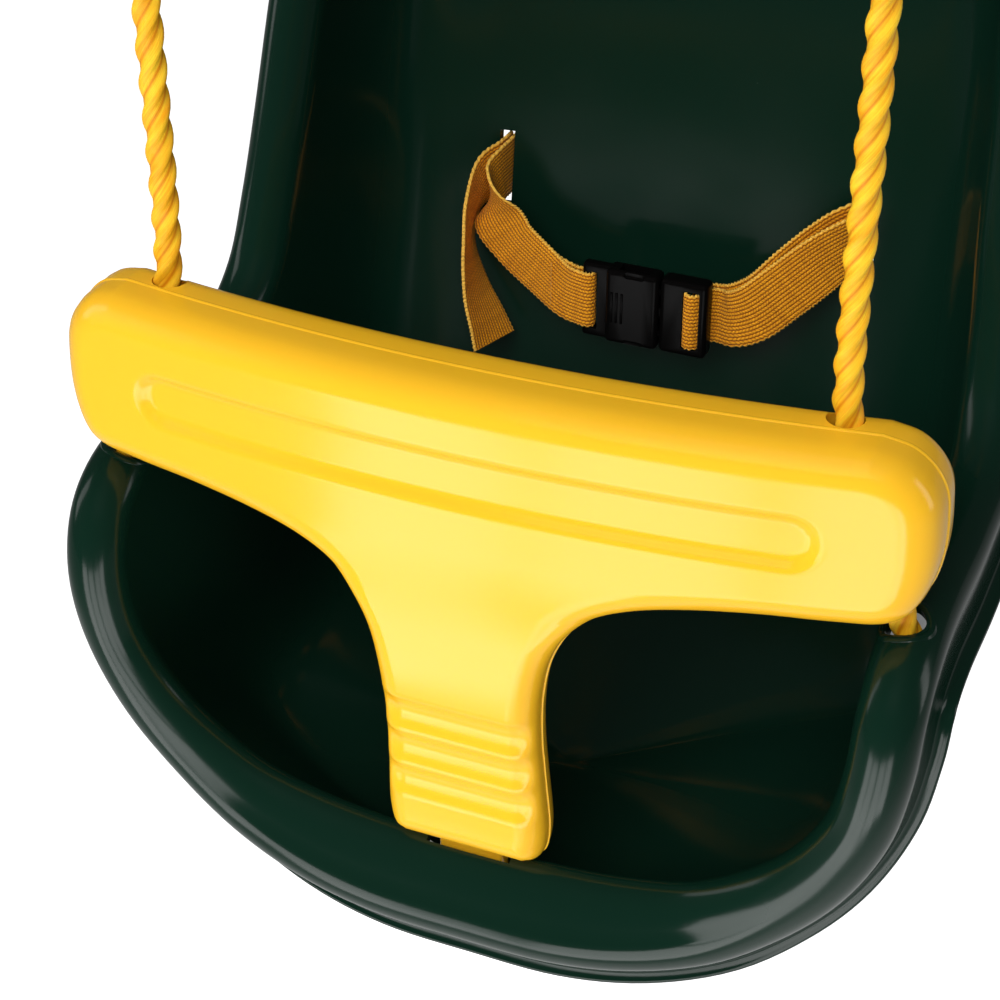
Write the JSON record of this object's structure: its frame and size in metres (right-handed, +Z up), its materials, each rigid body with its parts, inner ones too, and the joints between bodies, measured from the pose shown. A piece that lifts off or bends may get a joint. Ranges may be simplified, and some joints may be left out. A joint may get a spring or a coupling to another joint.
{
  "type": "toddler bucket swing seat",
  "caption": "High-back moulded toddler swing seat hung on ropes from rings, with a sliding T-shaped lap bar and a webbing lap belt with a side-release buckle.",
  "frame": {"origin": "midpoint of the line through the bottom wires of the two hanging rings, the swing's axis", "axes": "+Z up, +X to the right of someone who faces the seat's front, +Y from the lap bar to the backrest"},
  "size_m": [0.3424, 0.3387, 0.7646],
  "materials": {
    "shell_plastic": "gloss dark green",
    "bar_plastic": "gloss yellow",
    "rope": "laid polypropylene, slight sheen",
    "webbing": "woven webbing",
    "buckle_plastic": "satin black",
    "ring_steel": "zinc plated",
    "sleeve_metal": "pressed, satin"
  },
  "bodies": {
    "hanger_rings": {"ring_left": "ring_steel", "ring_right": "ring_steel"},
    "seat": {"seat_shell": "shell_plastic", "rope_left": "rope", "rope_right": "rope", "knot_front_left": "rope", "knot_front_right": "rope", "knot_rear_left": "rope", "knot_rear_right": "rope", "rope_sleeve_left": "sleeve_metal", "rope_sleeve_right": "sleeve_metal", "belt_left_run": "webbing", "belt_right_run": "webbing", "belt_back_run": "webbing", "belt_tail": "webbing", "buckle_socket": "buckle_plastic"},
    "lap_bar": {"t_bar": "bar_plastic"},
    "buckle_plug": {"buckle_plug": "buckle_plastic"},
    "prong_upper": {"prong_upper": "buckle_plastic"},
    "prong_lower": {"prong_lower": "buckle_plastic"}
  },
  "joints": [
    {"name": "swing", "type": "hinge", "parent": "hanger_rings", "child": "seat", "pos_m": [0, 0, 0], "axis": [1, 0, 0], "range_deg": [-45, 45]},
    {"name": "t_bar_lift", "type": "slide", "parent": "seat", "child": "lap_bar", "axis": [0, 0.181, 0.9835], "range_m": [0, 0.16]},
    {"name": "buckle_release", "type": "slide", "parent": "seat", "child": "buckle_plug", "axis": [1, 0, 0], "range_m": [0, 0.019], "stiffness_N_per_m": 40, "deforming": ["belt_right_run"]},
    {"name": "prong_upper_squeeze", "type": "hinge", "parent": "buckle_plug", "child": "prong_upper", "pos_m": [0.0019, 0.07153, -0.55349], "axis": [0, 0.9835, -0.181], "range_deg": [-15, 0]},
    {"name": "prong_lower_squeeze", "type": "hinge", "parent": "buckle_plug", "child": "prong_lower", "pos_m": [0.0019, 0.06805, -0.57238], "axis": [0, 0.9835, -0.181], "range_deg": [0, 15]}
  ],
  "couplings": [
    {"joint": "prong_upper_squeeze", "follows": "buckle_release", "rad_per_m": -13.5},
    {"joint": "prong_lower_squeeze", "follows": "buckle_release", "rad_per_m": 13.5}
  ]
}
